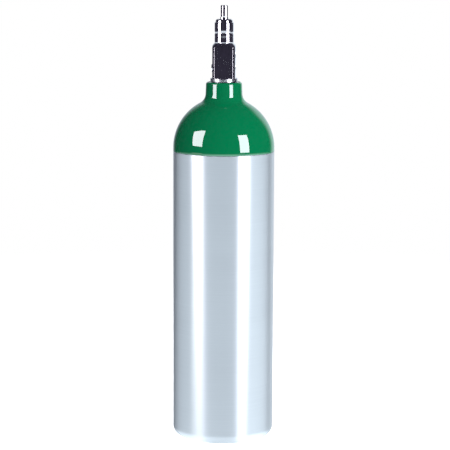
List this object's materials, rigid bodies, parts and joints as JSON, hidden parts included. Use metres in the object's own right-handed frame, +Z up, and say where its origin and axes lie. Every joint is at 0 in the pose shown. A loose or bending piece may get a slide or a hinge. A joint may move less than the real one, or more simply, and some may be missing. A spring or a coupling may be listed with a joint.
{
  "type": "medical oxygen cylinder",
  "caption": "Slim round-shouldered gas cylinder that stands on its flat foot, with a small post valve on top that is opened by turning a keyed stem.",
  "frame": {"origin": "on the floor under the foot, on the cylinder's own axis", "axes": "+Z up along the cylinder's axis; +X out of the valve's outlet face; +Y out of one yoke flat"},
  "size_m": [0.1112, 0.1112, 0.4785],
  "materials": {
    "brushed_aluminium": "brushed around the wall, clear satin",
    "green_enamel": "gloss",
    "chrome_plate": "bright plated",
    "brass": "turned",
    "sintered_bronze": "sintered, grainy",
    "copper": "bright",
    "steel": "spring steel, bright",
    "black_rubber": "matte",
    "white_plastic": "smooth"
  },
  "bodies": {
    "cylinder": {"cylinder_shell": "brushed_aluminium", "shoulder_enamel": "green_enamel", "neck_o_ring": "black_rubber", "valve_body": "chrome_plate", "inlet_filter": "sintered_bronze", "filter_snap_ring": "steel", "inlet_tube": "brass", "bonnet_gasket": "copper", "bonnet_nut": "chrome_plate", "packing_ring_lower": "white_plastic", "packing_ring_upper": "white_plastic", "packing_follower": "brass", "gland_nut": "chrome_plate", "thrust_washer": "white_plastic", "relief_gasket": "white_plastic", "burst_disc": "copper", "relief_plug": "chrome_plate"},
    "stem": {"valve_stem": "chrome_plate"},
    "plug": {"seat_plug": "brass", "seat_insert": "white_plastic"}
  },
  "joints": [
    {"name": "stem_turn", "type": "hinge", "parent": "cylinder", "child": "stem", "pos_m": [0, 0, 0.43], "axis": [0, 0, 1], "range_deg": [0, 450]},
    {"name": "plug_lift", "type": "slide", "parent": "stem", "child": "plug", "axis": [0, 0, 1], "range_m": [0, 0.0016]}
  ],
  "couplings": [
    {"joint": "plug_lift", "follows": "stem_turn", "m_per_rad": 0.0002021}
  ]
}
